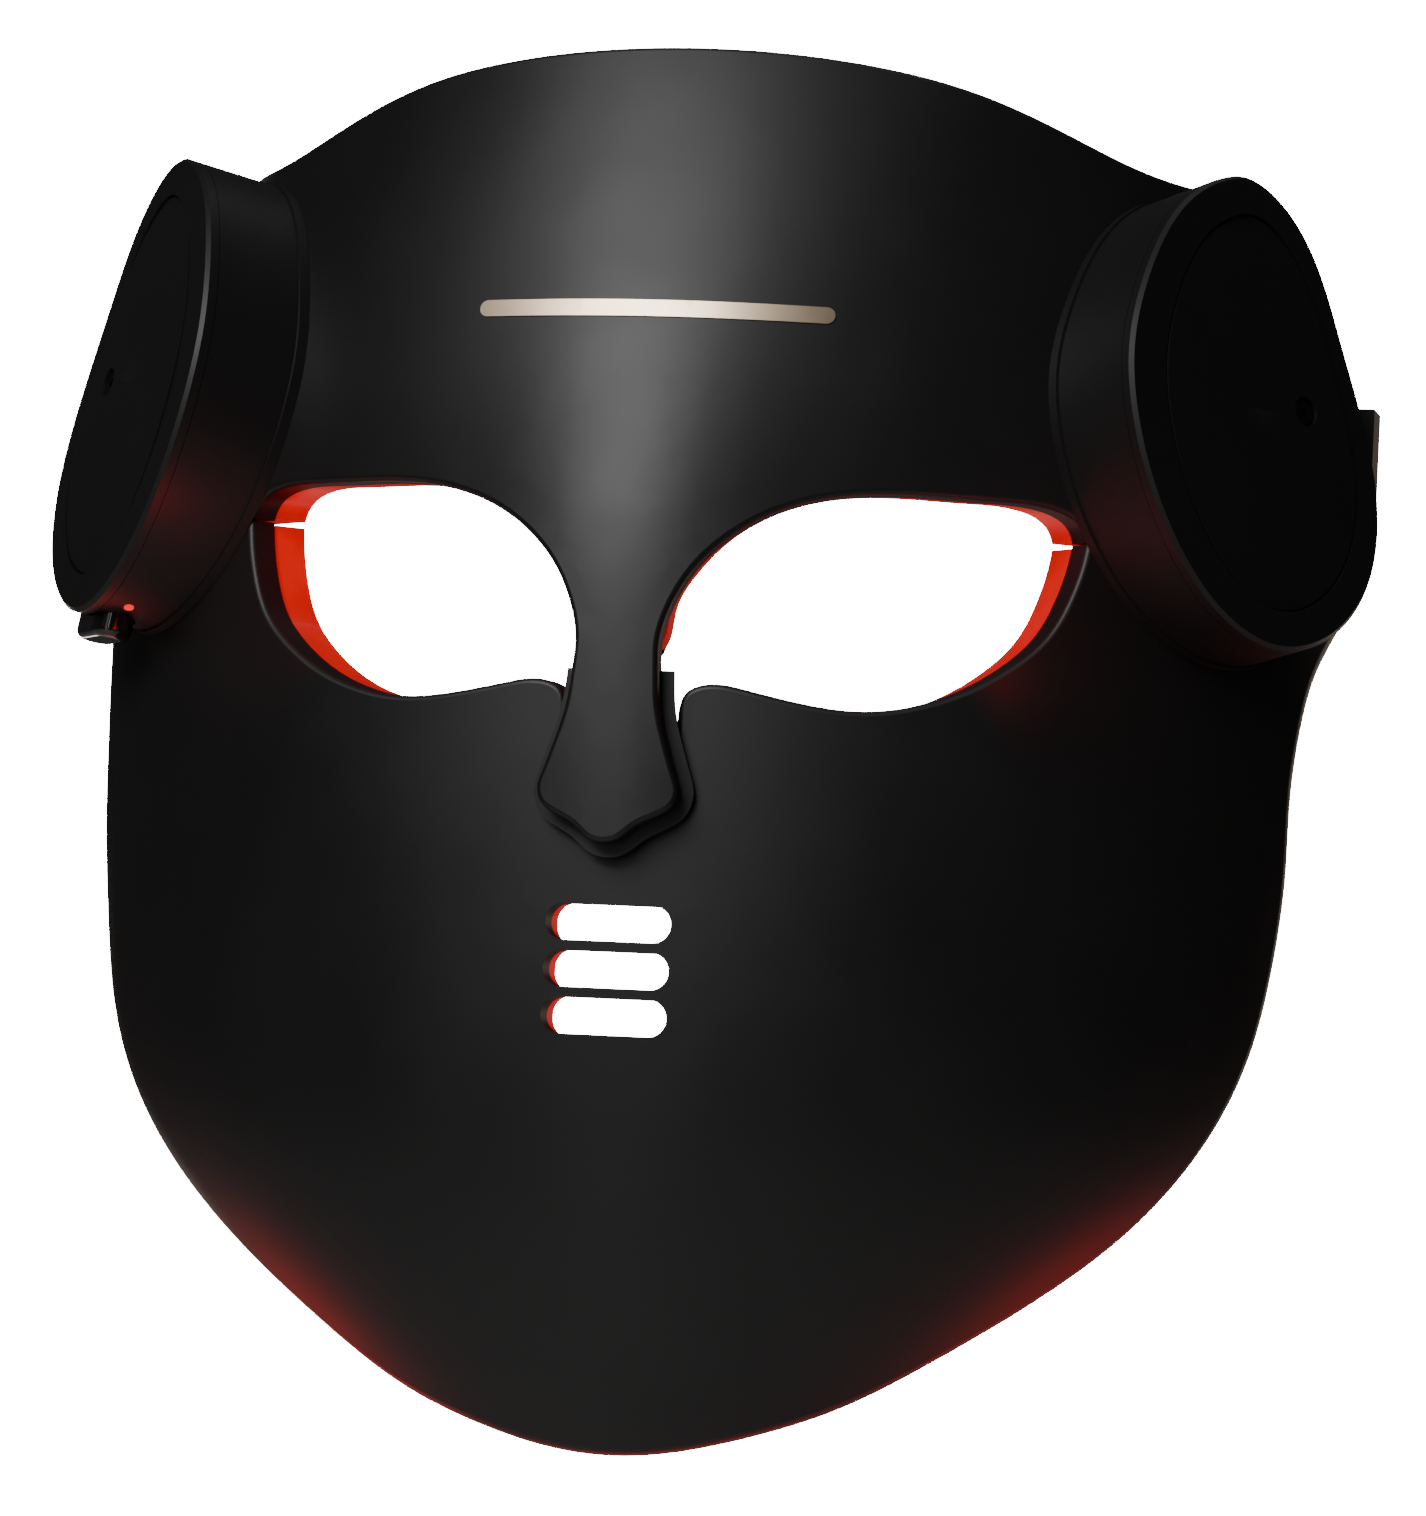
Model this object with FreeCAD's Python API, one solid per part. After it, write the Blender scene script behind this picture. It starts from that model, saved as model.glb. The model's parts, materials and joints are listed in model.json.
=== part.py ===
import FreeCAD, Part
import math
import os

# Light-therapy face mask, millimetres. +X is to the viewer's right, +Y goes back to the wearer's head, +Z up.
# The origin is the seat of the nose pad: the point that touches the bridge of the wearer's nose.

V = FreeCAD.Vector

# ---- driving sizes ----
FACE_HEIGHT = 252.5          # chin to the middle of the top edge
FACE_WIDTH = 249.0           # across the cheeks at eye level
FACE_DEPTH = 100.0           # bow of the eye-level section, nose line to the ears
SEAT_DEPTH = 10.5            # seat plane behind the lip surface
SKIN = 2.2                   # moulded outer skin
SHELL_WALL = 4.6             # depth of the outer shell's edge walls
SHELL_RIM = 2.0              # width of those edge walls
LINER_GAP = 0.1              # parting line between shell and liner
LINER_DEPTH = 6.2            # depth of the translucent liner
LINER_SKIN = 1.5             # liner face towards the skin of the wearer
LINER_RIM = 1.8              # width of the liner's edge walls
LINER_INSET = 0.4            # liner edge inside the shell edge
BOARD_TOP = 3.0              # flexible LED board below the outer surface
BOARD_THICK = 0.8
BOARD_INSET = 4.5            # board edge inside the shell edge
BOARD_REACH = 84.0           # boards end under the pods
LED_RADIUS = 1.7
LED_HEIGHT = 1.4
LED_PITCH = 17.0
NOSE_LIFT = 8.0              # upper panel stands this far in front of the lower one at the nose
LIFT_WIDTH = 34.0            # how far that lift spreads sideways
SEAM_GAP = 0.3               # parting line between the upper and lower panels
SEAM_LEVEL = 22.3            # height of the temple seam above the seat
EDGE_ROUND = 1.0             # rolled edge of the eyes and the nose tongue
PERIMETER_ROUND = 2.5        # softer rolled edge all round the mask
BACKPLATE_THICK = 1.5
BACKPLATE_REACH = 2.2        # backing of the nose tongue beyond its edge
BACKPLATE_TOP = -5.0         # upper end of that backing above the seat

SLOT_WIDTH = 22.3            # mouth slots
SLOT_HEIGHT = 6.4
SLOT_PITCH = 8.1
SLOT_COUNT = 3
SLOT_LEVEL = -57.0           # middle slot below the seat

POD_HEIGHT = 86.0            # temple pods, egg-shaped
POD_WIDTH = 59.0
POD_DEPTH = 16.5
POD_AIM = 38.0               # outer face turned forward of sideways, degrees
POD_TILT = 10.0              # outer face tipped up, degrees
POD_SPREAD = 0.828           # middle of the outer face / (FACE_WIDTH / 2)
POD_LEVEL = 0.189            # and its height / FACE_HEIGHT
POD_STAND = 23.0             # outer face in front of the face form
POD_WALL = 2.0
FLOOR_DEPTH = 12.0           # pod floor below the outer face
FLOOR_THICK = 1.5
COVER_DEPTH = 2.4            # face cover of a pod
COVER_RIM = 7.0              # flat rim around the pillow panel
COVER_LEDGE = 2.0            # step that carries the panel
COVER_CHAMFER = 0.7
PART_LINE = 0.1              # gap between stacked covers
PANEL_SHIFT = 1.2            # panel behind the middle of the face
PANEL_GAP = 0.3
PANEL_DEPTH = 1.7
PANEL_CROWN = 500.0          # radius of the pillow's crown
PANEL_PROUD = 0.8
FLANGE_REACH = 0.5           # base ring outside the housing
FLANGE_THICK = 1.8
SCREW_OFFSET = 12.0          # panel screw behind the middle of the face
SCREW_LEVEL = 1.0            # and above it
SCREW_HOLE = 2.7             # round recess over the screw head
SCREW_SEAT = 1.0             # seat of the head below the outer face
SCREW_HEAD = 2.2
HEAD_HEIGHT = 1.0
HEX_RADIUS = 0.9
SCREW_SHANK = 1.0
SCREW_LENGTH = 7.0
BOSS_RADIUS = 3.0
FIT = 0.05                   # radial clearance of screws and pins in their holes
POD_SCREWS = ((-2.0, 31.0), (18.0, -24.0), (-18.5, -21.0))   # rear, up from the middle of the face
HARNESS_SPOTS = ((-20.0, 3.0), (-12.0, -31.5))
HARNESS_RADIUS = 1.1
HARNESS_HOLE = 1.5

BUTTON_LONG = 14.5
BUTTON_SHORT = 7.6
BUTTON_PROUD = 3.8
BUTTON_TRAVEL = 0.8
BUTTON_GAP = 0.3
BUTTON_ROUND = 1.6
BUTTON_SHIFT = 4.0           # button behind the middle of the face
BUTTON_DEPTH = 6.6           # middle of the button below the outer face
BUTTON_NECK = 5.6            # from the pod's lowest line up to the button's flange
BUTTON_FLANGE = 1.2
SWITCH_SIZE = (6.0, 3.4, 3.6)
LIGHT_RADIUS = 0.9
LIGHT_SHIFT = -6.5
BATTERY_SIZE = (21.0, 46.0, 7.2)
BOARD_SIZE = (21.0, 44.0, 1.4)
BAY_CORNER = (-14.5, -27.0)  # lower front corner of the battery or the board
# chips on the board: size, place from the bay's corner
CHIPS = (((7, 7, 1.0), 7, 24), ((5, 4, 1.2), 3, 35), ((4, 6, 2.6), 14, 8), ((3, 3, 1.4), 4, 12),
         ((8, 3, 1.1), 10, 38))
SOCKET_SIZE = (6.2, 8.9, 3.3)
SOCKET_SHELL = 0.4
SOCKET_LEVEL = -12.0
SOCKET_DEPTH = 7.4

LOOP_HEIGHT = 44.0           # strap loops
LOOP_BAR = 3.6
LOOP_SLOT = 6.0
LOOP_THICK = 3.0
LOOP_CORNER = 3.0
LOOP_TURN = 20.0             # loops at rest turned in towards the head, degrees
PIN_RADIUS = 1.5
LUG_HEIGHT = 6.0
LUG_RADIUS = 3.6
LUG_GAP = 0.3
BARREL_HEIGHT = 12.0
LOOP_LEVEL = 42.0            # middle of a loop above the seat
PIN_BACK = 7.0               # pin axis behind the wing's rear edge
CLIP_GRIP = 5.5              # clip over the wing's rear edge
CLIP_BACK = 4.0
CLIP_WALL = 1.6
CLIP_CLEAR = 0.05

BADGE_LENGTH = 64.0          # plain foil bar on the forehead
BADGE_HEIGHT = 3.0
BADGE_THICK = 0.25
BADGE_LEVEL = 59.2
CONTACT = 0.03               # pieces that lie on each other

PAD_THICK = 3.2              # silicone pads on the back of the liner
FOREHEAD_PAD = (72.0, 17.0, 82.0)    # width, height, level above the seat
CHIN_PAD = (40.0, 11.0, -124.0)
NOSE_PAD = (13.0, 16.0, 5.0)
PAD_ROUND = 4.0

# ---- sections of the lower face form, chin to brow ----
# height / FACE_HEIGHT, set-back / FACE_DEPTH, half-width / (FACE_WIDTH / 2), bow / FACE_DEPTH
SECTIONS = (
    (-0.610, 0.165, 0.406, 0.473),
    (-0.535, 0.055, 0.473, 0.530),
    (-0.467, -0.015, 0.596, 0.610),
    (-0.380, -0.070, 0.766, 0.707),
    (-0.305, -0.096, 0.881, 0.831),
    (-0.186, -0.105, 0.952, 0.947),
    (-0.028, -0.085, 1.000, 1.026),
    (0.091, -0.060, 0.978, 1.043),
    (0.190, -0.027, 0.945, 1.012),
    (0.289, 0.030, 0.871, 0.934),
    (0.388, 0.109, 0.778, 0.819),
    (0.490, 0.213, 0.700, 0.675),
)
# share of NOSE_LIFT by height / FACE_HEIGHT
LIFT = ((-0.70, 1.0), (-0.15, 1.0), (0.0, 0.97), (0.09, 0.82), (0.17, 0.55), (0.25, 0.27), (0.34, 0.08),
        (0.43, 0.0), (0.55, 0.0))
EDGE_SWING = 88.0            # the sections run to this angle either side, degrees
COLUMNS = 25
ROWS = 23


def spline_of(pairs):
    curve = Part.BSplineCurve()
    curve.interpolate(Points=[V(a, b, 0) for a, b in pairs], Parameters=[a for a, b in pairs])
    return lambda at: curve.value(at).y


SETBACK = spline_of([(row[0], row[1]) for row in SECTIONS])
HALF = spline_of([(row[0], row[2]) for row in SECTIONS])
BOW = spline_of([(row[0], row[3]) for row in SECTIONS])
RISE = spline_of(LIFT)


def lift_at(x, level):
    return NOSE_LIFT * RISE(level) * math.exp(-(x / LIFT_WIDTH) ** 2)


def form_point(swing, level, lifted):
    half = HALF(level) * FACE_WIDTH / 2
    x = half * math.sin(swing)
    y = SETBACK(level) * FACE_DEPTH + BOW(level) * FACE_DEPTH * (1 - math.cos(swing))
    if lifted:
        y -= lift_at(x, level)
    return V(x, y, level * FACE_HEIGHT)


def front(x, z, lifted):
    level = z / FACE_HEIGHT
    half = HALF(level) * FACE_WIDTH / 2
    share = min(abs(x) / half, 1.0)
    y = SETBACK(level) * FACE_DEPTH + BOW(level) * FACE_DEPTH * (1 - math.sqrt(1 - share * share))
    return y - lift_at(x, level) if lifted else y


def grid(lifted, depth):
    low, high = SECTIONS[0][0], SECTIONS[-1][0]
    swing_max = math.radians(EDGE_SWING)
    step = 1e-4
    rows = []
    for i in range(ROWS):
        level = low + (high - low) * i / (ROWS - 1)
        row = []
        for j in range(COLUMNS):
            swing = swing_max * (2 * j / (COLUMNS - 1) - 1)
            point = form_point(swing, level, lifted)
            along = form_point(swing + step, level, lifted) - form_point(swing - step, level, lifted)
            up = form_point(swing, level + step, lifted) - form_point(swing, level - step, lifted)
            inward = up.cross(along)
            inward.normalize()
            if inward.y < 0 and abs(inward.y) > 0.02:
                inward = inward * -1
            row.append(point + inward * depth)
        rows.append(row)
    return rows


def sheet(lifted, depth):
    surface = Part.BSplineSurface()
    surface.interpolate(grid(lifted, depth))
    return surface


def slab(lifted, top, bottom):
    outer = sheet(lifted, top)
    inner = sheet(lifted, bottom)
    faces = [outer.toShape(), inner.toShape()]
    u0, u1, v0, v1 = outer.bounds()
    p0, p1, q0, q1 = inner.bounds()
    for a, b in ((u0, p0), (u1, p1)):
        faces.append(Part.makeRuledSurface(outer.uIso(a).toShape(), inner.uIso(b).toShape()))
    for a, b in ((v0, q0), (v1, q1)):
        faces.append(Part.makeRuledSurface(outer.vIso(a).toShape(), inner.vIso(b).toShape()))
    shell = Part.makeShell(faces)
    shell.sewShape()
    solid = Part.Solid(shell)
    if solid.Volume < 0:
        solid.reverse()
    return solid


# ---- outlines in the front view: x outwards from the middle plane, z above the seat ----
EYE_INNER = 7.5              # half the width of the nose bridge
EYE_OUTER = 76.2             # outer corner from the middle plane
EYE_TOP = 28.1
EYE_BOTTOM = -10.2
# share of the eye's span and height, bridge to outer corner
BROW_LINE = ((0.0, 0.253), (0.022, 0.423), (0.073, 0.598), (0.146, 0.742), (0.240, 0.859), (0.344, 0.937),
             (0.470, 0.985), (0.604, 1.0), (0.771, 1.0), (0.907, 0.990), (0.970, 0.945))
CHEEK_LINE = ((0.991, 0.731), (0.971, 0.595), (0.923, 0.402), (0.834, 0.235), (0.731, 0.115), (0.601, 0.029),
              (0.480, 0.0), (0.349, 0.021), (0.210, 0.070), (0.132, 0.092))
# half outline of the nose tongue below the bridge, share of its length and of its flare
TONGUE_LENGTH = 35.6
TONGUE_FLARE = 12.6
TONGUE_LINE = ((0.61, 0.14), (0.66, 0.33), (0.79, 0.50), (0.945, 0.66), (1.0, 0.735), (0.93, 0.81),
               (0.66, 0.873), (0.42, 0.920), (0.21, 0.981))
NOTCH_HALF = 10.0            # nose notch of the lower panel
NOTCH_LEVEL = -25.0
CORNER_ROUND = 3.6
SIGHT_DEPTH = 90.0           # the eye walls point at the upright line this far behind the seat
NEAR_PLANE = -45.0
FAR_PLANE = 45.0
REACH = 140.0                # beyond every piece

# side view of the perimeter: depth behind the seat / FACE_DEPTH, height / FACE_HEIGHT
JAW_LINE = ((0.078, -0.582), (0.105, -0.568), (0.133, -0.545), (0.178, -0.522), (0.254, -0.476),
            (0.323, -0.431), (0.377, -0.386), (0.418, -0.329), (0.461, -0.259), (0.481, -0.215),
            (0.492, -0.131), (0.486, -0.072), (0.502, -0.034), (0.550, 0.010), (0.695, 0.073))
BACK_LINE = ((0.768, 0.15), (0.780, 0.22), (0.745, 0.29))
TOP_LINE = ((0.667, 0.343), (0.600, 0.3565), (0.505, 0.3600), (0.409, 0.3680), (0.308, 0.3940),
            (0.245, 0.4125), (0.190, 0.4245))


def eye_point(share):
    return (EYE_INNER + share[0] * (EYE_OUTER - EYE_INNER), EYE_BOTTOM + share[1] * (EYE_TOP - EYE_BOTTOM))


def brow_chain(tongue):
    """Right half of the upper panel's lower edge, outer corner to tongue tip, or to the bridge alone."""
    chain = [(EYE_OUTER, SEAM_LEVEL)]
    chain += [eye_point(share) for share in reversed(BROW_LINE)]
    if tongue:
        chain += [(TONGUE_FLARE * a, -TONGUE_LENGTH * b) for a, b in TONGUE_LINE]
    return chain


def cheek_chain():
    """Right half of the lower panel's upper edge, outer corner to the foot of the nose notch."""
    chain = [(EYE_OUTER, SEAM_LEVEL - SEAM_GAP)]
    chain += [eye_point(share) for share in CHEEK_LINE]
    top = eye_point(CHEEK_LINE[-1])[1]
    chain.append((NOTCH_HALF + CORNER_ROUND, top - 0.1 * CORNER_ROUND))
    chain.append((NOTCH_HALF + 0.3 * CORNER_ROUND, top - 0.5 * CORNER_ROUND))
    chain += [(NOTCH_HALF, top - 1.5 * CORNER_ROUND), (NOTCH_HALF, 0.5 * (top + NOTCH_LEVEL))]
    chain += [(0.8 * NOTCH_HALF, NOTCH_LEVEL + 0.2 * NOTCH_HALF), (0.45 * NOTCH_HALF, NOTCH_LEVEL)]
    return chain


def shifted(chain, by):
    """The chain moved sideways by a distance, to the left of its own direction."""
    moved = []
    for i in range(len(chain)):
        a = chain[max(i - 1, 0)]
        b = chain[min(i + 1, len(chain) - 1)]
        dx, dz = b[0] - a[0], b[1] - a[1]
        size = math.hypot(dx, dz)
        moved.append((chain[i][0] - dz / size * by, chain[i][1] + dx / size * by))
    return moved


def mirrored(chain):
    return chain + [(-x, z) for x, z in reversed(chain)]


def run_of(chain):
    """Distance along a chain at each of its points."""
    steps = [0.0]
    for a, b in zip(chain, chain[1:]):
        steps.append(steps[-1] + math.hypot(b[0] - a[0], b[1] - a[1]))
    return steps


def spline_edge(points, steps):
    curve = Part.BSplineCurve()
    curve.interpolate(Points=points, Parameters=steps)
    return curve.toShape()


def sight_ring(chain, closing, plane, lifted):
    """The chain as seen from the sight line, thrown on to an upright plane, and closed by straight lines."""
    points = []
    for x, z in chain:
        share = (SIGHT_DEPTH - plane) / (SIGHT_DEPTH - front(x, z, lifted))
        points.append(V(x * share, plane, z))
    last = points[-1]
    first = points[0]
    corners = [last, V(last.x, plane, closing), V(first.x, plane, closing), first]
    edges = [spline_edge(points, run_of(chain))]
    for a, b in zip(corners, corners[1:]):
        edges.append(Part.makeLine(a, b))
    return Part.Wire(edges)


def sight_cut(chain, closing, lifted):
    near = sight_ring(chain, closing, NEAR_PLANE, lifted)
    far = sight_ring(chain, closing, FAR_PLANE, lifted)
    return Part.makeLoft([near, far], True, True)


def run_on(chain, by):
    """The end of a chain carried on along its own direction."""
    a, b = chain[-2], chain[-1]
    return (b[0] + by * (b[0] - a[0]), b[1] + by * (b[1] - a[1]))


def side_profile(inset):
    """The perimeter in the side view as a prism across the whole width."""
    chain = [(y * FACE_DEPTH, z * FACE_HEIGHT) for y, z in JAW_LINE + BACK_LINE + TOP_LINE]
    chain = shifted(chain, inset)
    chain = [run_on(chain[1::-1], 8)] + chain + [run_on(chain, 3)]
    outline = [V(-REACH, y, z) for y, z in chain]
    top, foot = outline[-1], outline[0]
    corners = [top, V(-REACH, NEAR_PLANE, top.z), V(-REACH, NEAR_PLANE, foot.z), foot]
    edges = [spline_edge(outline, run_of(chain))]
    for a, b in zip(corners, corners[1:]):
        edges.append(Part.makeLine(a, b))
    return Part.Face(Part.Wire(edges)).extrude(V(2 * REACH, 0, 0))


def cheek_boxes(height):
    """Everything below a height outside the middle of each eye."""
    inside = (EYE_INNER + EYE_OUTER) / 2
    boxes = []
    for x in (inside, -REACH):
        boxes.append(Part.makeBox(REACH - inside, 2 * REACH, 2 * REACH, V(x, -REACH, height - 2 * REACH)))
    return boxes


def brow_box(height):
    """Everything above a height."""
    return Part.makeBox(2 * REACH, 2 * REACH, 2 * REACH, V(-REACH, -REACH, height))


def upper_cut(inset, tongue):
    chain = shifted(mirrored(brow_chain(tongue)), -inset)
    return [sight_cut(chain, -2 * REACH, True)] + cheek_boxes(SEAM_LEVEL + inset)


def lower_cut(inset):
    chain = shifted(mirrored(cheek_chain()), inset)
    return [sight_cut(chain, 2 * REACH, False)]


def upper_body(top, bottom, inset, tongue=False):
    return slab(True, top, bottom).common(side_profile(inset)).cut(upper_cut(inset, tongue))


def lower_body(top, bottom, inset):
    body = slab(False, top, bottom).common(side_profile(inset))
    return body.cut(lower_cut(inset) + [brow_box(SEAM_LEVEL - SEAM_GAP - inset)])


# ---- small helpers ----
def bar(width, height, x, z, round_by):
    """An upright rounded rectangle in the front view, as a prism through the whole depth."""
    box = Part.makeBox(width, 2 * REACH, height, V(x - width / 2, -REACH, z - height / 2))
    edges = [edge for edge in box.Edges if abs(edge.tangentAt(edge.FirstParameter).y) > 0.9]
    return box.makeFillet(round_by, edges)


def slots():
    tools = []
    for i in range(SLOT_COUNT):
        level = SLOT_LEVEL + (i - (SLOT_COUNT - 1) / 2) * SLOT_PITCH
        tools.append(bar(SLOT_WIDTH, SLOT_HEIGHT, 0, level, SLOT_HEIGHT / 2 - 0.01))
    return tools


def wide_slots(grow):
    tools = []
    for i in range(SLOT_COUNT):
        level = SLOT_LEVEL + (i - (SLOT_COUNT - 1) / 2) * SLOT_PITCH
        tools.append(bar(SLOT_WIDTH + 2 * grow, SLOT_HEIGHT + 2 * grow, 0, level, SLOT_HEIGHT / 2))
    return tools


def only_solid(shape):
    """The largest solid of a shape."""
    return max(shape.Solids, key=lambda solid: solid.Volume)


def both(shape):
    """A right-hand piece and its mirror image on the left."""
    return {"right": shape, "left": shape.mirror(V(0, 0, 0), V(1, 0, 0))}


# ---- pods, in their own frame: x back, y up, z outwards from the middle of the outer face ----
EGG = ((0.0, 1.0), (-0.46, 0.84), (-0.82, 0.50), (-0.99, 0.17), (-0.98, -0.18), (-0.78, -0.58), (-0.42, -0.88),
       (0.0, -1.0), (0.48, -0.93), (0.86, -0.68), (1.0, -0.36), (0.95, -0.02), (0.80, 0.36), (0.66, 0.66),
       (0.42, 0.90))


def pod_matrix():
    aim, tilt = math.radians(POD_AIM), math.radians(POD_TILT)
    out = V(math.cos(aim) * math.cos(tilt), -math.sin(aim) * math.cos(tilt), math.sin(tilt))
    back = V(math.sin(aim), math.cos(aim), 0)
    up = out.cross(back)
    x, z = POD_SPREAD * FACE_WIDTH / 2, POD_LEVEL * FACE_HEIGHT
    y = front(x, z, False) - POD_STAND
    return FreeCAD.Matrix(back.x, up.x, out.x, x, back.y, up.y, out.y, y, back.z, up.z, out.z, z, 0, 0, 0, 1)


def placed(shape):
    moved = shape.copy()
    moved.Placement = FreeCAD.Placement(pod_matrix()).multiply(moved.Placement)
    return moved


def egg(inset, low, high, shift=0.0):
    wide, tall = POD_WIDTH / 2 - inset, POD_HEIGHT / 2 - inset
    curve = Part.BSplineCurve()
    curve.interpolate(Points=[V(shift + a * wide, b * tall, low) for a, b in EGG], PeriodicFlag=True)
    return Part.Face(Part.Wire([curve.toShape()])).extrude(V(0, 0, high - low))


def peg(radius, x, y, low, high):
    return Part.makeCylinder(radius, high - low, V(x, y, low))


def block(size, x, y, z):
    """A box in the pod frame from its lower front corner and its lowest z."""
    return Part.makeBox(size[0], size[1], size[2], V(x, y, z))


def form_depth(x, y):
    """Where the line through a spot of the pod, along its axis, meets the face form."""
    matrix = pod_matrix()
    low, high = -40.0, 0.0
    for _ in range(40):
        middle = (low + high) / 2
        point = matrix.multVec(V(x, y, middle))
        if point.y < front(point.x, point.z, False):
            high = middle
        else:
            low = middle
    return high


def capsule(long, short, low, high, x, z):
    """The button's round-ended section in the pod's x-z plane, as a prism along y."""
    box = Part.makeBox(long, high - low, short, V(x - long / 2, low, z - short / 2))
    edges = [edge for edge in box.Edges if abs(edge.tangentAt(edge.FirstParameter).y) > 0.9]
    return box.makeFillet(short / 2 - 0.01, edges)


def pod_flange():
    ring = egg(-FLANGE_REACH, -32, 0).cut(egg(POD_WALL, -32, 0))
    return only_solid(placed(ring).common(slab(True, -FLANGE_THICK, -CONTACT)))


def screw_axes():
    return [(x, y, form_depth(x, y)) for x, y in POD_SCREWS]


def pod_housing(with_button):
    top = -COVER_DEPTH - PART_LINE
    tube = egg(0, -32, top).cut(egg(POD_WALL, -32, top))
    floor = egg(POD_WALL, -FLOOR_DEPTH - FLOOR_THICK, -FLOOR_DEPTH)
    floor = floor.cut([peg(HARNESS_HOLE, x, y, -20, 0) for x, y in HARNESS_SPOTS])
    bosses = [peg(BOSS_RADIUS, x, y, -30, -FLOOR_DEPTH) for x, y in POD_SCREWS]
    bosses.append(peg(BOSS_RADIUS, SCREW_OFFSET, SCREW_LEVEL, -FLOOR_DEPTH, -PANEL_DEPTH - PART_LINE))
    body = tube.fuse([floor] + bosses)
    cuts = [peg(SCREW_SHANK + FIT, x, y, -30, -FLOOR_DEPTH) for x, y in POD_SCREWS]
    cuts.append(peg(SCREW_SHANK + FIT, SCREW_OFFSET, SCREW_LEVEL, -SCREW_SEAT - SCREW_LENGTH - 0.5, 0))
    if with_button:
        low, high = -POD_HEIGHT / 2 - BUTTON_PROUD - 1, -POD_HEIGHT / 2 + BUTTON_NECK
        long, short = BUTTON_LONG + 2 * BUTTON_GAP, BUTTON_SHORT + 2 * BUTTON_GAP
        cuts.append(capsule(long, short, low, high, BUTTON_SHIFT, -BUTTON_DEPTH))
        cuts.append(light_pipe(FIT))
        cuts.append(socket_block(0.3))
    body = body.cut(cuts)
    below = egg(POD_WALL, -32, -FLOOR_DEPTH - FLOOR_THICK)
    seat = slab(True, -45, -FLANGE_THICK - 0.05)
    space = slab(True, -45, -CONTACT)
    walls = placed(body.cut(below)).common(seat)
    legs = placed(body.common(below)).common(space)
    return only_solid(walls.fuse(legs))


def light_pipe(grow):
    spot = V(LIGHT_SHIFT, -POD_HEIGHT / 2 - 1, -BUTTON_DEPTH)
    return Part.makeCylinder(LIGHT_RADIUS + grow, 6.5 + grow, spot, V(0, 1, 0))


def socket_block(grow):
    long, tall, thick = SOCKET_SIZE
    x = POD_WIDTH / 2 - long - 0.4
    size = (long + grow + 4 * (grow > 0), tall + 2 * grow, thick + 2 * grow)
    return block(size, x - grow, SOCKET_LEVEL - tall / 2 - grow, -SOCKET_DEPTH - thick / 2 - grow)


def charging_socket():
    long, tall, thick = SOCKET_SIZE
    mouth = block((long - 1, tall - 2 * SOCKET_SHELL, thick - 2 * SOCKET_SHELL), POD_WIDTH / 2 - long + 0.6,
                  SOCKET_LEVEL - tall / 2 + SOCKET_SHELL, -SOCKET_DEPTH - thick / 2 + SOCKET_SHELL)
    tongue = block((long - 2.2, tall - 2.2, 0.7), POD_WIDTH / 2 - long + 0.6, SOCKET_LEVEL - tall / 2 + 1.1,
                   -SOCKET_DEPTH - 0.35)
    return socket_block(0).cut(mouth).fuse(tongue)


def status_light():
    body = light_pipe(0)
    return body.common(egg(-0.15, -32, 0))


def pod_cover():
    plate = egg(0, -COVER_DEPTH, 0)
    top = [edge for edge in plate.Edges if abs(edge.BoundBox.ZMin) < 0.01 and abs(edge.BoundBox.ZMax) < 0.01]
    plate = plate.makeChamfer(COVER_CHAMFER, top)
    well = egg(COVER_RIM, -PANEL_DEPTH, 1, PANEL_SHIFT)
    hole = egg(COVER_RIM + COVER_LEDGE, -COVER_DEPTH - 1, 1, PANEL_SHIFT)
    return plate.cut([well, hole])


def pod_panel():
    body = egg(COVER_RIM + PANEL_GAP, -PANEL_DEPTH + CONTACT, 4, PANEL_SHIFT)
    ball = Part.makeSphere(PANEL_CROWN, V(PANEL_SHIFT, 0, PANEL_PROUD - PANEL_CROWN))
    body = body.common(ball)
    recess = peg(SCREW_HOLE, SCREW_OFFSET, SCREW_LEVEL, -SCREW_SEAT, 5)
    hole = peg(SCREW_SHANK + FIT, SCREW_OFFSET, SCREW_LEVEL, -5, 5)
    return body.cut([recess, hole])


def panel_screw():
    x, y, seat = SCREW_OFFSET, SCREW_LEVEL, -SCREW_SEAT
    head = peg(SCREW_HEAD, x, y, seat + CONTACT, seat + HEAD_HEIGHT)
    shank = peg(SCREW_SHANK, x, y, seat - SCREW_LENGTH, seat + HEAD_HEIGHT / 2)
    socket = Part.Face(Part.makePolygon([hex_corner(i) for i in range(7)])).extrude(V(0, 0, 2))
    return head.fuse(shank).cut(socket)


def hex_corner(i):
    turn = math.radians(60 * i)
    x = SCREW_OFFSET + HEX_RADIUS * math.cos(turn)
    y = SCREW_LEVEL + HEX_RADIUS * math.sin(turn)
    return V(x, y, -SCREW_SEAT + HEAD_HEIGHT / 3)


def head_level(depth):
    """Underside of a screw head, inside the shell's skin."""
    return depth - SKIN - 1.1


def pod_screws():
    """Screws from inside the shell into the housing's bosses."""
    solids = []
    for x, y, depth in screw_axes():
        under = head_level(depth)
        head = peg(SCREW_HEAD, x, y, under - HEAD_HEIGHT, under)
        solids.append(head.fuse(peg(SCREW_SHANK, x, y, under, -FLOOR_DEPTH - FLOOR_THICK)))
    return Part.makeCompound(solids)


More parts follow.
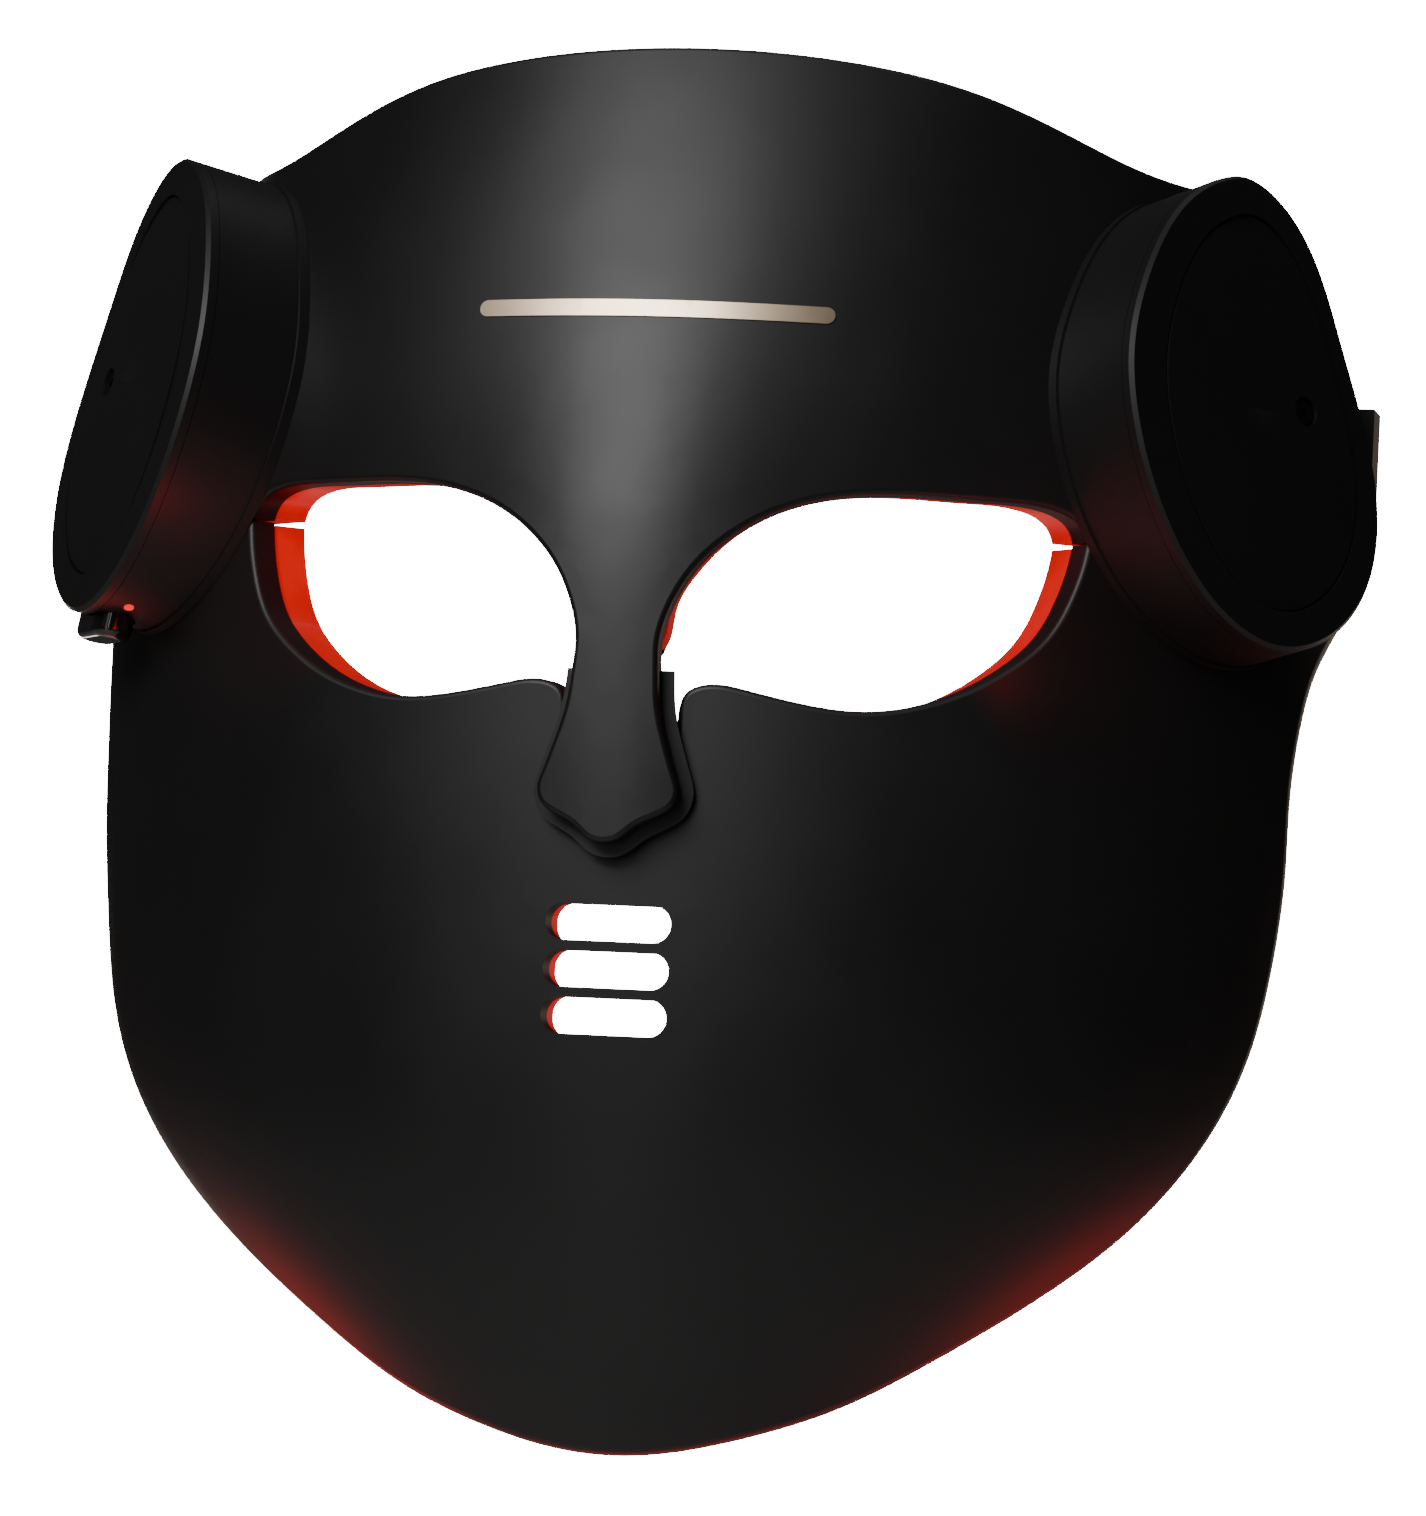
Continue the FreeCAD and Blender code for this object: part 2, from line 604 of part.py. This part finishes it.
def screw_clearances():
    """Room for the screws and the harnesses in the shells and the light boards, on both sides."""
    holes = [peg(HARNESS_HOLE, x, y, -40, 0) for x, y in HARNESS_SPOTS]
    for x, y, depth in screw_axes():
        holes.append(peg(SCREW_SHANK + 4 * FIT, x, y, -40, 0))
        holes.append(peg(SCREW_HEAD + 6 * FIT, x, y, -40, head_level(depth) + CONTACT))
    pair = both(placed(Part.makeCompound(holes)))
    return [pair["left"], pair["right"]]


def harness():
    solids = []
    for x, y in HARNESS_SPOTS:
        solids.append(peg(HARNESS_RADIUS, x, y, form_depth(x, y) - BOARD_TOP + 0.3, -FLOOR_DEPTH + 1.5))
    return Part.makeCompound(solids)


def power_button():
    low = -POD_HEIGHT / 2 - BUTTON_PROUD
    neck = -POD_HEIGHT / 2 + BUTTON_NECK
    stem = capsule(BUTTON_LONG, BUTTON_SHORT, low, neck, BUTTON_SHIFT, -BUTTON_DEPTH)
    rim = [edge for edge in stem.Edges if edge.BoundBox.YMax < low + 0.01]
    stem = stem.makeFillet(BUTTON_ROUND, rim)
    low, high = neck + BUTTON_GAP, neck + BUTTON_GAP + BUTTON_FLANGE
    flange = capsule(BUTTON_LONG + 1.6, BUTTON_SHORT + 0.8, low, high, BUTTON_SHIFT, -BUTTON_DEPTH)
    web = capsule(BUTTON_LONG - 1, BUTTON_SHORT - 1, neck - 1, low + 0.2, BUTTON_SHIFT, -BUTTON_DEPTH)
    return stem.fuse([web, flange]).removeSplitter()


def button_switch():
    long, tall, thick = SWITCH_SIZE
    low = -POD_HEIGHT / 2 + BUTTON_NECK + BUTTON_GAP + BUTTON_FLANGE + BUTTON_TRAVEL + 0.1
    return block(SWITCH_SIZE, BUTTON_SHIFT - long / 2, low, -BUTTON_DEPTH - thick / 2)


def battery():
    body = block(BATTERY_SIZE, BAY_CORNER[0], BAY_CORNER[1], -FLOOR_DEPTH + CONTACT)
    edges = [edge for edge in body.Edges if abs(edge.tangentAt(edge.FirstParameter).y) > 0.9]
    return body.makeFillet(1.8, edges)


def control_board():
    return block(BOARD_SIZE, BAY_CORNER[0], BAY_CORNER[1], -FLOOR_DEPTH + CONTACT)


def board_chips():
    top = -FLOOR_DEPTH + BOARD_SIZE[2] + 2 * CONTACT
    chips = []
    for size, x, y in CHIPS:
        chips.append(block(size, BAY_CORNER[0] + x, BAY_CORNER[1] + y, top))
    return Part.makeCompound(chips)


# ---- shells, liners and boards ----
def rolled(body, lifted, reach, radius):
    """The body with its long outer edges rounded, where their lowest point is between two heights."""
    edges = []
    for edge in body.Edges:
        span = edge.LastParameter - edge.FirstParameter
        points = [edge.valueAt(edge.FirstParameter + span * i / 20) for i in range(1, 20)]
        off = max(abs(point.y - front(point.x, point.z, lifted)) for point in points)
        foot = min(point.z for point in points)
        if off < SHELL_WALL / 2 and edge.Length > FACE_WIDTH / 4 and reach[0] < foot < reach[1]:
            edges.append(edge)
    return body.makeFillet(radius, edges)


def upper_shell():
    body = only_solid(upper_body(0, SHELL_WALL, 0, True))
    body = rolled(body, True, (-TONGUE_LENGTH - 5, FACE_HEIGHT), EDGE_ROUND)
    return body.cut(upper_body(SKIN, SHELL_WALL + 1, SHELL_RIM, True))


def lower_shell():
    body = slab(False, 0, SHELL_WALL).common(side_profile(0)).cut(brow_box(SEAM_LEVEL - SEAM_GAP))
    body = rolled(only_solid(body), False, (-FACE_HEIGHT, -FACE_HEIGHT / 3), PERIMETER_ROUND)
    body = only_solid(body.cut(lower_cut(0)))
    body = rolled(body, False, (NOTCH_LEVEL - 5, SEAM_LEVEL / 2), EDGE_ROUND).cut(slots())
    cavity = lower_body(SKIN, SHELL_WALL + 1, SHELL_RIM).cut(wide_slots(SHELL_RIM / 2))
    return only_solid(body.cut(cavity))


def liner_blank(body_of):
    top = SHELL_WALL + LINER_GAP
    return body_of(top, top + LINER_DEPTH, LINER_INSET)


def liner_hollow(body_of):
    top = SHELL_WALL + LINER_GAP
    return body_of(top - 1, top + LINER_DEPTH - LINER_SKIN, LINER_INSET + LINER_RIM)


def upper_liner():
    return only_solid(liner_blank(upper_body).cut(liner_hollow(upper_body)))


def lower_liner():
    hollow = liner_hollow(lower_body).cut(wide_slots(LINER_INSET + LINER_RIM / 2))
    return only_solid(liner_blank(lower_body).cut(wide_slots(LINER_INSET)).cut(hollow))


def led_board(body_of):
    body = body_of(BOARD_TOP, BOARD_TOP + BOARD_THICK, BOARD_INSET)
    keep = Part.makeBox(2 * BOARD_REACH, 2 * REACH, 3 * REACH, V(-BOARD_REACH, -REACH, -1.5 * REACH))
    return only_solid(body.common(keep))


def leds(board, lifted):
    """One row of emitters after another, wherever the board has room."""
    surface = sheet(lifted, 0)
    solids = []
    columns = int(BOARD_REACH / LED_PITCH)
    rows = int(FACE_HEIGHT / LED_PITCH)
    for i in range(-rows, rows):
        for j in range(-columns, columns + 1):
            x, z = j * LED_PITCH, (i + 0.5) * LED_PITCH
            y = front(x, z, lifted)
            u, v = surface.parameter(V(x, y, z))
            inward = surface.normal(u, v)
            if inward.y < 0:
                inward = inward * -1
            middle = V(x, y, z) + inward * (BOARD_TOP + BOARD_THICK / 2)
            ends = [middle + V(a, 0, b) for a, b in ((-3, 0), (3, 0), (0, -3), (0, 3))]
            if all(board.isInside(end + inward * drop(end, middle, lifted), 0.3, True) for end in ends):
                base = middle + inward * (BOARD_THICK / 2 + CONTACT)
                solids.append(Part.makeCylinder(LED_RADIUS, LED_HEIGHT, base, inward))
    return Part.makeCompound(solids)


def drop(end, middle, lifted):
    return front(end.x, end.z, lifted) - front(middle.x, middle.z, lifted)


def nose_backplate():
    top = SHELL_WALL + CONTACT
    body = upper_body(top, top + BACKPLATE_THICK, -BACKPLATE_REACH, True)
    keep = Part.makeBox(4 * TONGUE_FLARE, 2 * REACH, REACH, V(-2 * TONGUE_FLARE, -REACH, BACKPLATE_TOP - REACH))
    return only_solid(body.common(keep))


def pad(lifted, size):
    top = SHELL_WALL + 2 * LINER_GAP + LINER_DEPTH
    width, height, level = size
    return slab(lifted, top, top + PAD_THICK).common(bar(width, height, 0, level, PAD_ROUND))


def nose_pad():
    """Fills the space from the liner to the seat plane."""
    top = SHELL_WALL + 2 * LINER_GAP + LINER_DEPTH
    width, height, level = NOSE_PAD
    front_half = Part.makeBox(2 * REACH, REACH, 2 * REACH, V(-REACH, -REACH, -REACH))
    return slab(True, top, top + 20).common(bar(width, height, 0, level, PAD_ROUND)).common(front_half)


def forehead_badge():
    strip = bar(BADGE_LENGTH, BADGE_HEIGHT, 0, BADGE_LEVEL, BADGE_HEIGHT / 2 - 0.01)
    return slab(True, -BADGE_THICK, -0.01).common(strip)


# ---- strap loops at the wings' rear edges ----
def wing_edge():
    """Rear edge of the wing at the loops' level."""
    y = BACK_LINE[1][0] * FACE_DEPTH
    level = LOOP_LEVEL / FACE_HEIGHT
    bow = 1 - (y - SETBACK(level) * FACE_DEPTH) / (BOW(level) * FACE_DEPTH)
    return HALF(level) * FACE_WIDTH / 2 * math.sqrt(1 - bow * bow), y


def pin_axis():
    x, y = wing_edge()
    return x - (SHELL_WALL + LINER_GAP + LINER_DEPTH) / 2, y + PIN_BACK


def clip_half():
    return LUG_HEIGHT + BARREL_HEIGHT / 2 + LUG_GAP


def loop_bracket():
    x, y = pin_axis()
    edge = wing_edge()[1]
    wide = SHELL_WALL + LINER_GAP + LINER_DEPTH + 2 * CLIP_WALL + 1.0
    half = clip_half()
    corner = V(x - wide / 2, edge - CLIP_GRIP, LOOP_LEVEL - half)
    body = Part.makeBox(wide, CLIP_GRIP + CLIP_BACK, 2 * half, corner)
    lugs = []
    for low in (LOOP_LEVEL - half, LOOP_LEVEL + half - LUG_HEIGHT):
        lugs.append(Part.makeCylinder(LUG_RADIUS, LUG_HEIGHT, V(x, y, low)))
        lugs.append(Part.makeBox(2 * LUG_RADIUS, y - edge - 1, LUG_HEIGHT, V(x - LUG_RADIUS, edge + 1, low)))
    body = body.fuse(lugs)
    depth = SHELL_WALL + LINER_GAP + LINER_DEPTH
    wing = slab(True, -CLIP_CLEAR, depth + CLIP_CLEAR).common(side_profile(-CLIP_CLEAR))
    barrel = Part.makeCylinder(LUG_RADIUS + LUG_GAP, BARREL_HEIGHT + 2 * LUG_GAP,
                               V(x, y, LOOP_LEVEL - BARREL_HEIGHT / 2 - LUG_GAP))
    hole = Part.makeCylinder(PIN_RADIUS + 0.01, 2 * half, V(x, y, LOOP_LEVEL - half))
    return only_solid(body.cut([wing, barrel, hole]))


def loop_pin():
    x, y = pin_axis()
    half = clip_half()
    return Part.makeCylinder(PIN_RADIUS, 2 * half, V(x, y, LOOP_LEVEL - half))


def strap_loop():
    x, y = pin_axis()
    start = y + LUG_RADIUS + 0.5
    depth = 2 * LOOP_BAR + LOOP_SLOT
    low = LOOP_LEVEL - LOOP_HEIGHT / 2
    frame = Part.makeBox(LOOP_THICK, depth, LOOP_HEIGHT, V(x - LOOP_THICK / 2, start, low))
    window = Part.makeBox(LOOP_THICK, LOOP_SLOT, LOOP_HEIGHT - 2 * LOOP_BAR,
                          V(x - LOOP_THICK / 2, start + LOOP_BAR, low + LOOP_BAR))
    frame = frame.makeFillet(LOOP_CORNER, across(frame))
    window = window.makeFillet(LOOP_SLOT / 4, across(window))
    foot = LOOP_LEVEL - BARREL_HEIGHT / 2
    barrel = Part.makeCylinder(LUG_RADIUS, BARREL_HEIGHT, V(x, y, foot))
    arm = Part.makeBox(LOOP_THICK, start + 1 - y, BARREL_HEIGHT, V(x - LOOP_THICK / 2, y, foot))
    hole = Part.makeCylinder(PIN_RADIUS + FIT, BARREL_HEIGHT, V(x, y, foot))
    loop = frame.cut(window).fuse([barrel, arm]).cut(hole).removeSplitter()
    loop.rotate(V(x, y, 0), V(0, 0, 1), LOOP_TURN)
    return loop


def across(box):
    return [edge for edge in box.Edges if abs(edge.tangentAt(edge.FirstParameter).x) > 0.9]


def build():
    nodes = {}
    holes = screw_clearances()
    nodes["upper_shell"] = upper_shell().cut(holes)
    nodes["lower_shell"] = lower_shell().cut(holes)
    nodes["upper_liner"] = upper_liner()
    nodes["lower_liner"] = lower_liner()
    nodes["upper_led_board"] = led_board(upper_body).cut(holes)
    nodes["lower_led_board"] = led_board(lower_body).cut(wide_slots(SHELL_RIM)).cut(holes)
    nodes["upper_leds"] = leds(nodes["upper_led_board"], True)
    nodes["lower_leds"] = leds(nodes["lower_led_board"], False)
    nodes["nose_backplate"] = nose_backplate()
    nodes["nose_pad"] = nose_pad()
    nodes["forehead_pad"] = pad(True, FOREHEAD_PAD)
    nodes["chin_pad"] = pad(False, CHIN_PAD)
    nodes["forehead_badge"] = forehead_badge()
    pairs = {"pod_flange": pod_flange(), "loop_bracket": loop_bracket(), "loop_pin": loop_pin(),
             "strap_loop": strap_loop()}
    for name, make in (("pod_cover", pod_cover), ("pod_panel", pod_panel), ("panel_screw", panel_screw),
                       ("pod_screws", pod_screws), ("harness", harness)):
        pairs[name] = placed(make())
    for name, shape in pairs.items():
        for side, piece in both(shape).items():
            nodes[side + "_" + name] = piece
    nodes["right_pod_housing"] = pod_housing(False)
    nodes["left_pod_housing"] = both(pod_housing(True))["left"]
    nodes["battery"] = placed(battery())
    for name, make in (("control_board", control_board), ("board_chips", board_chips),
                       ("button_switch", button_switch), ("power_button", power_button),
                       ("status_light", status_light), ("charging_socket", charging_socket)):
        nodes[name] = both(placed(make()))["left"]
    return nodes


os.makedirs("parts", exist_ok=True)
for name, shape in build().items():
    shape.exportStep("parts/" + name + ".step")
    print(name, len(shape.Solids), shape.isValid(), round(shape.Volume))
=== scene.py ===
import json
import math

import bpy
from mathutils import Matrix, Vector


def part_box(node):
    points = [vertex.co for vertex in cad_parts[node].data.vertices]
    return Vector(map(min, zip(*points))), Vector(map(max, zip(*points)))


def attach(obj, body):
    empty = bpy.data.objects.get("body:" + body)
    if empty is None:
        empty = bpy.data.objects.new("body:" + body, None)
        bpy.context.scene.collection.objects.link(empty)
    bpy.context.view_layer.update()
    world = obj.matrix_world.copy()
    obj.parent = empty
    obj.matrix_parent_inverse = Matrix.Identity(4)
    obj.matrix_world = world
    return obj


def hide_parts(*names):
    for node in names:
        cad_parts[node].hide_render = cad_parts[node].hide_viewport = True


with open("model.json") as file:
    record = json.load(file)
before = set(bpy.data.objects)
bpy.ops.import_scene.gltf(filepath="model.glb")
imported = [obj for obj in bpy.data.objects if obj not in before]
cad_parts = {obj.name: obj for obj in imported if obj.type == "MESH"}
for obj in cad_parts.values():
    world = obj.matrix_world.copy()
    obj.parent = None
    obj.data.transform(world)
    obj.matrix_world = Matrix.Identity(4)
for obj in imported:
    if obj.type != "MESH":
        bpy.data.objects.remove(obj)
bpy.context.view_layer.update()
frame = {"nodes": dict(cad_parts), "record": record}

# A light-therapy face mask, in metres, in the frame of its CAD: the wearer's side is +Y.

NODES = frame["nodes"]


# ---- materials ----
def new_material(name):
    material = bpy.data.materials.new(name)
    material.use_nodes = True
    return material, material.node_tree.nodes, material.node_tree.links


def noise(nodes, links, scale, detail=3.0):
    place = nodes.new("ShaderNodeTexCoord")
    texture = nodes.new("ShaderNodeTexNoise")
    texture.inputs["Scale"].default_value = scale
    texture.inputs["Detail"].default_value = detail
    links.new(place.outputs["Object"], texture.inputs["Vector"])
    return texture.outputs["Fac"]


def spread(nodes, links, source, low, high):
    """The source's middle range laid out from low to high."""
    ramp = nodes.new("ShaderNodeMapRange")
    ramp.inputs["From Min"].default_value = 0.3
    ramp.inputs["From Max"].default_value = 0.7
    ramp.inputs["To Min"].default_value = low
    ramp.inputs["To Max"].default_value = high
    links.new(source, ramp.inputs["Value"])
    return ramp.outputs["Result"]


def moulded(name, colour, rough, grain=1500.0, depth=0.00002, wear=0.04, coat=0.0, metal=0.0, tint=0.15,
            ior=1.47):
    """A solid material with a fine grain, and roughness and tone that wander a little over the piece."""
    material, nodes, links = new_material(name)
    shader = nodes["Principled BSDF"]
    shader.inputs["Metallic"].default_value = metal
    shader.inputs["IOR"].default_value = ior
    shader.inputs["Coat Weight"].default_value = coat
    shader.inputs["Coat Roughness"].default_value = 0.08
    slow = noise(nodes, links, 26.0, 5.0)
    links.new(spread(nodes, links, slow, rough - wear, rough + wear), shader.inputs["Roughness"])
    mix = nodes.new("ShaderNodeMix")
    mix.data_type = "RGBA"
    mix.inputs[6].default_value = (*[c * (1 - tint) for c in colour], 1)
    mix.inputs[7].default_value = (*[min(1, c * (1 + tint)) for c in colour], 1)
    links.new(noise(nodes, links, 60.0), mix.inputs[0])
    links.new(mix.outputs[2], shader.inputs["Base Color"])
    bump = nodes.new("ShaderNodeBump")
    bump.inputs["Strength"].default_value = 0.35
    bump.inputs["Distance"].default_value = depth
    links.new(noise(nodes, links, grain, 2.0), bump.inputs["Height"])
    links.new(bump.outputs["Normal"], shader.inputs["Normal"])
    return material


def glowing(name, colour, strength, rough=0.3):
    """A lit red whose brightness wanders a little over the piece."""
    material = moulded(name, colour, rough, grain=700.0, coat=0.3)
    nodes, links = material.node_tree.nodes, material.node_tree.links
    shader = nodes["Principled BSDF"]
    shader.inputs["Emission Color"].default_value = (*colour, 1)
    links.new(spread(nodes, links, noise(nodes, links, 90.0), strength * 0.75, strength * 1.25),
              shader.inputs["Emission Strength"])
    return material


MATERIALS = {
    "shell_black": moulded("satin_black_shell", (0.0070, 0.0068, 0.0068), 0.42, grain=2600.0, depth=0.000012),
    "panel_black": moulded("satin_black_panel", (0.0068, 0.0067, 0.0066), 0.44, grain=2600.0, depth=0.000014),
    "inner_black": moulded("grained_black", (0.012, 0.012, 0.012), 0.55, grain=1400.0, depth=0.00004),
    "loop_black": moulded("black_nylon", (0.016, 0.016, 0.016), 0.5, grain=1200.0, depth=0.00004),
    "liner_red": glowing("lit_red_liner", (0.70, 0.0, 0.002), 0.42),
    "board": moulded("white_solder_mask", (0.72, 0.70, 0.66), 0.35, grain=900.0),
    "emitter": glowing("lit_emitter", (1.0, 0.05, 0.03), 6.0, 0.15),
    "silicone": moulded("black_silicone", (0.018, 0.017, 0.017), 0.62, grain=900.0, depth=0.00006),
    "foil": moulded("champagne_foil", (0.86, 0.66, 0.47), 0.30, grain=1800.0, depth=0.000015, metal=1.0),
    "battery_wrap": moulded("blue_wrap", (0.05, 0.12, 0.35), 0.25, coat=0.5),
    "chip": moulded("black_epoxy", (0.02, 0.02, 0.02), 0.5),
    "button_gloss": moulded("polished_black", (0.006, 0.006, 0.006), 0.10, depth=0.000004, wear=0.03, coat=0.7),
    "indicator": glowing("lit_indicator", (0.9, 0.03, 0.02), 1.2, 0.1),
    "steel": moulded("zinc_plated_steel", (0.55, 0.55, 0.56), 0.35, metal=1.0),
    "screw_black": moulded("black_oxide_steel", (0.06, 0.06, 0.062), 0.38, metal=1.0),
    "wire": moulded("red_silicone_wire", (0.30, 0.02, 0.02), 0.5),
}

record_slots = {part["node"]: part["material_slot"] for part in frame["record"]["subparts"]}
for name, node in NODES.items():
    node.data.materials.clear()
    node.data.materials.append(MATERIALS[record_slots[name]])


# ---- soft silicone pads, crowned, lying on the back of the liner ----
BEHIND = 0.2            # a level behind every piece, from which the surfaces are looked for
LEAST_RISE = 0.0006     # thickness that a pad keeps anywhere inside its edge
FACE_GAP = 0.00004      # between a pad's underside and the liner


def depth_behind(nodes, x, z):
    """The rearmost surface of these nodes on the line through x, z."""
    best = None
    for node in nodes:
        hit, place, _, _ = node.ray_cast(Vector((x, BEHIND, z)), Vector((0, -1, 0)))
        if hit and (best is None or place.y > best):
            best = place.y
    return best


def pillow(name, node, under, seat=None, rings=18, spokes=96, square=4.5, crown=0.0004):
    """A rounded pad over a CAD pad's outline.

    It rises from the liner to the CAD pad's height, and rolls off at its edge.
    """
    low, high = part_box(node)
    middle = (low + high) / 2
    half_x, half_z = (high.x - low.x) / 2, (high.z - low.z) / 2
    core = depth_behind(under, middle.x, middle.z)
    thick = depth_behind([NODES[node]], middle.x, middle.z) - core
    points, faces = [], []
    for side in (0, 1):
        for ring in range(rings + 1):
            share = math.sin(ring / rings * math.pi / 2)
            for spoke in range(spokes):
                turn = 2 * math.pi * spoke / spokes
                cos, sin = math.cos(turn), math.sin(turn)
                reach = (abs(cos) ** square + abs(sin) ** square) ** (-1 / square)
                x = middle.x + half_x * share * reach * cos
                z = middle.z + half_z * share * reach * sin
                base = depth_behind(under, x, z) or core
                top = base + thick if seat is None else seat
                rise = max(top - base, LEAST_RISE) + (crown * (1 - share ** 2) if seat is None else 0)
                height = rise * (1 - share ** 7) ** 0.5 if side else FACE_GAP
                points.append((x, base + height, z))
    size = (rings + 1) * spokes
    for side in (0, 1):
        for ring in range(rings):
            for spoke in range(spokes):
                a = side * size + ring * spokes + spoke
                b = side * size + ring * spokes + (spoke + 1) % spokes
                quad = (a, b, b + spokes, a + spokes)
                faces.append(quad if side else quad[::-1])
    for spoke in range(spokes):
        a, b = rings * spokes + spoke, rings * spokes + (spoke + 1) % spokes
        faces.append((a, a + size, b + size, b))
    mesh = bpy.data.meshes.new(name)
    mesh.from_pydata(points, [], faces)
    mesh.shade_smooth()
    pad = bpy.data.objects.new(name, mesh)
    bpy.context.scene.collection.objects.link(pad)
    pad.data.materials.append(MATERIALS["silicone"])
    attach(pad, "mask")
    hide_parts(node)


bpy.context.view_layer.update()
pillow("forehead_cushion", "forehead_pad", [NODES["upper_liner"]])
pillow("chin_cushion", "chin_pad", [NODES["lower_liner"]])
pillow("nose_cushion", "nose_pad", [NODES["upper_liner"]], seat=0.0)


# ---- camera: slightly from the mask's left and below, with a small roll ----
AZIMUTH, ELEVATION, ROLL = math.radians(12.5), math.radians(-4.0), math.radians(3.0)
DISTANCE = 1.150
AIM = Vector((0.00824, 0.0295, -0.0169))
LENS_MM = 152.9
SENSOR_MM = 36.0
back = Vector((math.sin(AZIMUTH) * math.cos(ELEVATION),
               -math.cos(AZIMUTH) * math.cos(ELEVATION),
               math.sin(ELEVATION)))
level = Vector((math.cos(AZIMUTH), math.sin(AZIMUTH), 0))
upright = back.cross(level)
right = math.cos(ROLL) * level + math.sin(ROLL) * upright
up = math.cos(ROLL) * upright - math.sin(ROLL) * level
camera = bpy.data.objects.new("camera", bpy.data.cameras.new("camera"))
camera.data.lens = LENS_MM
camera.data.sensor_width = SENSOR_MM
camera.data.clip_end = 60.0
turned = Matrix((right, up, back)).transposed().to_4x4()
camera.matrix_world = Matrix.Translation(AIM + DISTANCE * back) @ turned
bpy.context.scene.collection.objects.link(camera)
bpy.context.scene.camera = camera


# ---- light ----
def lamp(name, place, aim, size, power, colour=(1, 1, 1), tall=None):
    data = bpy.data.lights.new(name, "AREA")
    data.shape = "RECTANGLE"
    data.size = size
    data.size_y = tall or size
    data.energy = power
    data.color = colour
    lamp_object = bpy.data.objects.new(name, data)
    lamp_object.location = place
    lamp_object.rotation_euler = (Vector(place) - Vector(aim)).to_track_quat("Z", "Y").to_euler()
    lamp_object.visible_camera = False
    bpy.context.scene.collection.objects.link(lamp_object)


WARM = (1.0, 0.82, 0.66)
RED = (1.0, 0.004, 0.003)
lamp("key", (-0.42, -1.15, 0.90), (0, 0, 0.05), 0.85, 17.0)
lamp("front", (-0.34, -1.6, -0.1), (0, 0, -0.05), 0.30, 1.0, tall=1.2)
lamp("chamfers", (0.02, -1.7, 0.42), (0, 0, 0.05), 0.10, 0.9, tall=0.9)
lamp("rim_left", (-0.85, 1.45, 0.0), (-0.09, 0.05, -0.05), 0.30, 3.4, WARM, tall=1.0)
lamp("rim_right", (0.9, 1.4, 0.0), (0.10, 0.05, -0.05), 0.30, 2.6, WARM, tall=1.0)
lamp("top", (0.0, 0.15, 1.2), (0, 0.02, 0.08), 0.9, 1.2)
lamp("glow_chin", (0.0, 0.10, -0.30), (0, 0.01, -0.13), 0.22, 0.16, RED, tall=0.06)
lamp("glow_left", (-0.16, 0.12, -0.22), (-0.07, 0.03, -0.10), 0.10, 0.10, RED)
lamp("glow_right", (0.16, 0.12, -0.22), (0.07, 0.03, -0.10), 0.10, 0.10, RED)
lamp("glow_pod_left", (-0.076, -0.012, 0.004), (-0.092, 0.02, 0.022), 0.012, 0.0035, RED)
lamp("glow_pod_right", (0.076, -0.012, 0.004), (0.092, 0.02, 0.022), 0.012, 0.0035, RED)

# ---- backdrop: plain white to the camera, and a faint fill to the object ----
BACKDROP_STRENGTH = 30.0
FILL_STRENGTH = 0.03
FLOOR_LEVEL = -0.62
FLOOR_RADIUS = 3.0
world = bpy.data.worlds.new("studio")
bpy.context.scene.world = world
world.use_nodes = True
nodes, links = world.node_tree.nodes, world.node_tree.links
nodes.clear()
path = nodes.new("ShaderNodeLightPath")
seen = nodes.new("ShaderNodeBackground")
seen.inputs["Color"].default_value = (1, 1, 1, 1)
seen.inputs["Strength"].default_value = BACKDROP_STRENGTH
room = nodes.new("ShaderNodeBackground")
room.inputs["Color"].default_value = (1.0, 0.985, 0.97, 1)
room.inputs["Strength"].default_value = FILL_STRENGTH
both = nodes.new("ShaderNodeMixShader")
output = nodes.new("ShaderNodeOutputWorld")
links.new(path.outputs["Is Camera Ray"], both.inputs[0])
links.new(room.outputs[0], both.inputs[1])
links.new(seen.outputs[0], both.inputs[2])
links.new(both.outputs[0], output.inputs["Surface"])

bpy.ops.mesh.primitive_circle_add(vertices=96, radius=FLOOR_RADIUS, fill_type="NGON",
                                  location=(0, 0, FLOOR_LEVEL))
floor = bpy.context.object
floor.name = "floor"
floor.data.materials.append(moulded("pale_floor", (0.82, 0.81, 0.80), 0.6, grain=40.0, tint=0.02))
